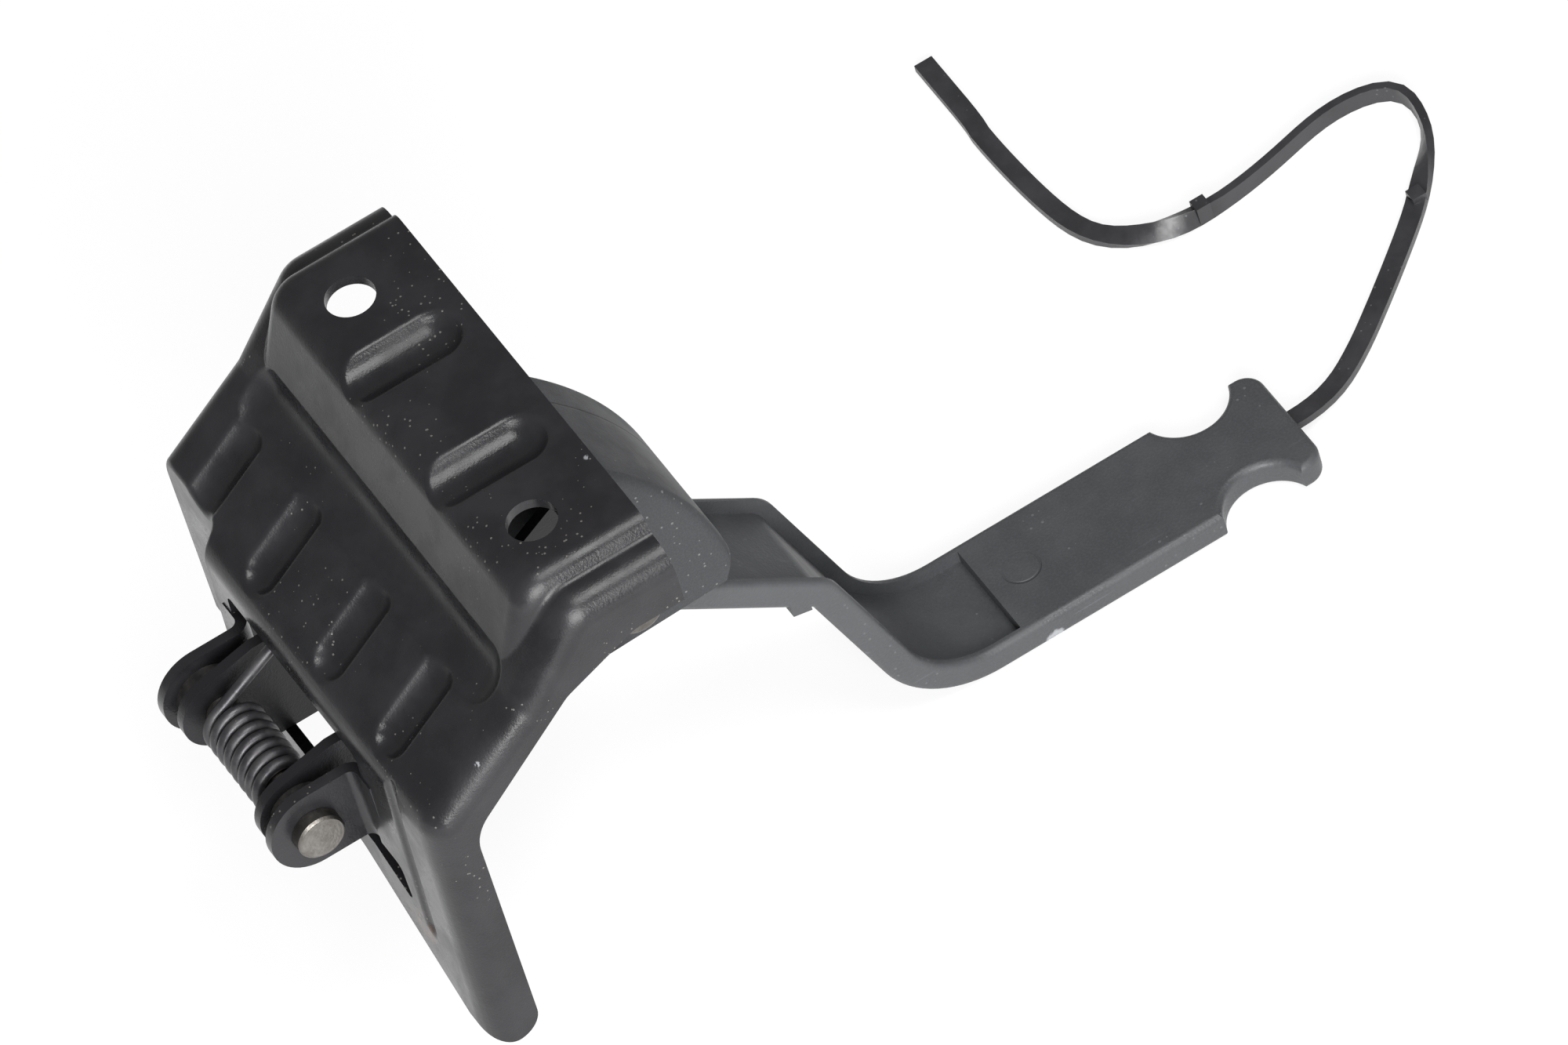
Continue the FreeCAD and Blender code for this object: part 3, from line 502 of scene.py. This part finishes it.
def welded_copy(node, name):
    """A copy of a solid at its place, with its facets joined into one skin."""
    source = frame["nodes"][node]
    piece = source.copy()
    piece.data = source.data.copy()
    piece.name = name
    piece.data.name = name
    piece.parent = None
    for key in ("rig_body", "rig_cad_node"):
        if key in piece:
            del piece[key]
    bpy.context.scene.collection.objects.link(piece)
    only(piece)
    bpy.ops.object.mode_set(mode="EDIT")
    bpy.ops.mesh.select_all(action="SELECT")
    bpy.ops.mesh.customdata_custom_splitnormals_clear()
    bpy.ops.mesh.remove_doubles(threshold=0.000002)
    bpy.ops.mesh.dissolve_limited(angle_limit=math.radians(0.6))
    bpy.ops.object.mode_set(mode="OBJECT")
    return piece


def finished(piece, body, material):
    """Even shading, the finish, and the body that a piece moves with."""
    only(piece)
    bpy.ops.object.shade_smooth_by_angle(angle=math.radians(36))
    even = piece.modifiers.new("even", "WEIGHTED_NORMAL")
    even.keep_sharp = True
    even.weight = 90
    bpy.ops.object.modifier_apply(modifier="even")
    paint(piece, material)
    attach(piece, body)


def broken_edges(node, name, body, width, material, steps=2):
    """A copy of a solid with its corners broken by a small radius, shown in its place."""
    piece = welded_copy(node, name)
    bevel = piece.modifiers.new("broken", "BEVEL")
    bevel.width = width
    bevel.segments = steps
    bevel.limit_method = "ANGLE"
    bevel.angle_limit = math.radians(50)
    bevel.use_clamp_overlap = True
    bevel.miter_outer = "MITER_ARC"
    bpy.ops.object.modifier_apply(modifier="broken")
    finished(piece, body, material)
    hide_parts(node)


broken_edges("bracket", "bracket_pressing", "bracket", 0.00028, FINISHES["coated_steel"])
broken_edges("lever", "lever_channel", "lever", 0.00035, FINISHES["grey_steel"])
broken_edges("handle", "handle_moulding", "lever", 0.00030, FINISHES["handle_plastic"])
broken_edges("pivot_pin", "riveted_pin", "bracket", 0.00015, FINISHES["bare_steel"])
broken_edges("pull_strap", "moulded_strap", "lever", 0.00018, FINISHES["strap_plastic"])

for node, finish in (
    ("washer_near", GREASED),
    ("washer_far", GREASED),
    ("handle_stud_rear", FINISHES["bare_steel"]),
    ("handle_stud_front", FINISHES["bare_steel"]),
):
    paint(frame["nodes"][node], finish)


# The torsion spring is one wire. Its hooked leg turns with the lever, so it is a piece of its own
# that starts inside the last coil, where the wire runs round the pin's axis.

COIL_RADIUS = 0.00435
WIRE_RADIUS = 0.00105
LEG_RADIUS = 0.00101
LEG_ROOT = 0.0016
LEG_ROOT_RADIUS = 0.0007
LEG_REACH = 0.0140
HOOK_BEND = 0.0020
HOOK_END_X = 0.01405
SPRING_LOW = Vector(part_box("torsion_spring")[0])
COIL_END = Vector((-SPRING_LOW.x - WIRE_RADIUS, PIN_Y, PIN_Z - COIL_RADIUS))


def spring_coil():
    piece = welded_copy("torsion_spring", "spring_coil")
    bpy.ops.object.mode_set(mode="EDIT")
    bpy.ops.mesh.select_mode(type="VERT")
    bpy.ops.mesh.select_all(action="DESELECT")
    bpy.ops.object.mode_set(mode="OBJECT")
    for vertex in piece.data.vertices:
        place = vertex.co - COIL_END
        vertex.select = place.y > 0.00003 and place.z < WIRE_RADIUS and place.x > -WIRE_RADIUS
    bpy.ops.object.mode_set(mode="EDIT")
    bpy.ops.mesh.delete(type="VERT")
    bpy.ops.mesh.select_non_manifold()
    bpy.ops.mesh.edge_face_add()
    bpy.ops.mesh.select_all(action="SELECT")
    bpy.ops.mesh.normals_make_consistent(inside=False)
    bpy.ops.object.mode_set(mode="OBJECT")
    finished(piece, "bracket", FINISHES["spring_steel"])
    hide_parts("torsion_spring")


def extrude(x, y, z):
    bpy.ops.mesh.extrude_region_move(TRANSFORM_OT_translate={"value": (x, y, z)})


def spring_hook():
    """The leg: a tapered root in the coil, a straight run forward and a bend into the lever's hole."""
    only(frame["nodes"]["bracket"])
    bpy.ops.object.select_all(action="DESELECT")
    start = COIL_END - Vector((0.0, LEG_ROOT, 0.0))
    bpy.ops.mesh.primitive_circle_add(
        vertices=28, radius=LEG_ROOT_RADIUS, fill_type="NGON",
        location=start, rotation=(math.radians(90), 0.0, 0.0),
    )
    piece = bpy.context.active_object
    piece.name = "spring_hook"
    bpy.ops.object.transform_apply(location=True, rotation=True, scale=True)
    bpy.ops.object.mode_set(mode="EDIT")
    bpy.ops.mesh.select_all(action="SELECT")
    extrude(0.0, LEG_ROOT, 0.0)
    grow = LEG_RADIUS / LEG_ROOT_RADIUS
    bpy.ops.transform.resize(value=(grow, 1.0, grow), center_override=COIL_END)
    extrude(0.0, LEG_REACH - HOOK_BEND, 0.0)
    centre = COIL_END + Vector((HOOK_BEND, LEG_REACH - HOOK_BEND, 0.0))
    bpy.ops.mesh.spin(steps=8, angle=math.radians(90), center=centre, axis=(0.0, 0.0, 1.0))
    extrude(HOOK_END_X - COIL_END.x - HOOK_BEND, 0.0, 0.0)
    bpy.ops.mesh.select_all(action="SELECT")
    bpy.ops.mesh.remove_doubles(threshold=0.000002)
    bpy.ops.mesh.normals_make_consistent(inside=False)
    bpy.ops.object.mode_set(mode="OBJECT")
    finished(piece, "lever", FINISHES["spring_steel"])


spring_coil()
spring_hook()


# Floor, light and camera.

def studio_white(tree, shader, share):
    """Adds the plain white that the camera sees."""
    path = add(tree, "ShaderNodeLightPath")
    seen = maths(tree, "MAXIMUM", path.outputs["Is Camera Ray"], path.outputs["Is Transmission Ray"])
    glow = add(tree, "ShaderNodeEmission", None, Color=(1.0, 1.0, 1.0, 1.0), Strength=1.0)
    blend = add(tree, "ShaderNodeMixShader", None, i0=maths(tree, "MULTIPLY", seen, share))
    tree.links.new(shader, blend.inputs[1])
    tree.links.new(glow.outputs[0], blend.inputs[2])
    return blend.outputs[0]


def make_floor():
    only(frame["nodes"]["bracket"])
    bpy.ops.object.select_all(action="DESELECT")
    bpy.ops.mesh.primitive_plane_add(size=12.0, location=(0.0, 0.0, FLOOR_Z))
    floor = bpy.context.active_object
    floor.name = "studio_floor"
    material = bpy.data.materials.new("studio_floor")
    material.use_nodes = True
    tree = material.node_tree
    shader = tree.nodes["Principled BSDF"]
    shader.inputs["Roughness"].default_value = 0.9
    shader.inputs["Specular IOR Level"].default_value = 0.1
    soft = noise(tree, object_place(tree), 3.0, 2.0)
    tone = mix(tree, ramp(tree, soft, 0.3, 0.7), (0.86, 0.86, 0.86, 1.0), (0.88, 0.88, 0.88, 1.0))
    tree.links.new(tone, shader.inputs["Base Color"])
    white = studio_white(tree, shader.outputs[0], 0.8)
    tree.links.new(white, tree.nodes["Material Output"].inputs["Surface"])
    paint(floor, material)


def make_world():
    world = bpy.data.worlds.new("studio")
    bpy.context.scene.world = world
    world.use_nodes = True
    tree = world.node_tree
    background = tree.nodes["Background"]
    path = add(tree, "ShaderNodeLightPath")
    background.inputs["Color"].default_value = (1.0, 1.0, 1.0, 1.0)
    strength = ramp(tree, path.outputs["Is Camera Ray"], 0.0, 1.0, 0.38, 1.0)
    tree.links.new(strength, background.inputs["Strength"])


def soft_lamp(name, direction, gap, size, power):
    data = bpy.data.lights.new(name, "AREA")
    data.shape = "SQUARE"
    data.size = size
    data.energy = power
    lamp = bpy.data.objects.new(name, data)
    bpy.context.scene.collection.objects.link(lamp)
    aim = Vector((0.0, 0.03, -0.05))
    away = Vector(direction).normalized()
    lamp.location = aim + away * gap
    lamp.rotation_mode = "QUATERNION"
    lamp.rotation_quaternion = away.to_track_quat("Z", "Y")


def make_camera():
    data = bpy.data.cameras.new("camera")
    data.sensor_width = 36.0
    data.lens = data.sensor_width * CAMERA_RANGE / FRAME_WIDTH
    data.clip_start = 0.1
    data.clip_end = 30.0
    camera = bpy.data.objects.new("camera", data)
    bpy.context.scene.collection.objects.link(camera)
    middle = RIGHT * ORIGIN_LEFT - UP * ORIGIN_ABOVE
    turn = Matrix((RIGHT, UP, OUT)).transposed().to_4x4()
    camera.matrix_world = Matrix.Translation(middle + OUT * CAMERA_RANGE) @ turn
    bpy.context.scene.camera = camera


make_floor()
make_world()
soft_lamp("side_box", (0.95, -0.25, 0.42), 1.1, 0.7, 25.0)
soft_lamp("top_box", (0.35, 0.2, 0.95), 1.4, 0.6, 13.0)
make_camera()
bpy.context.scene.view_settings.view_transform = "Standard"
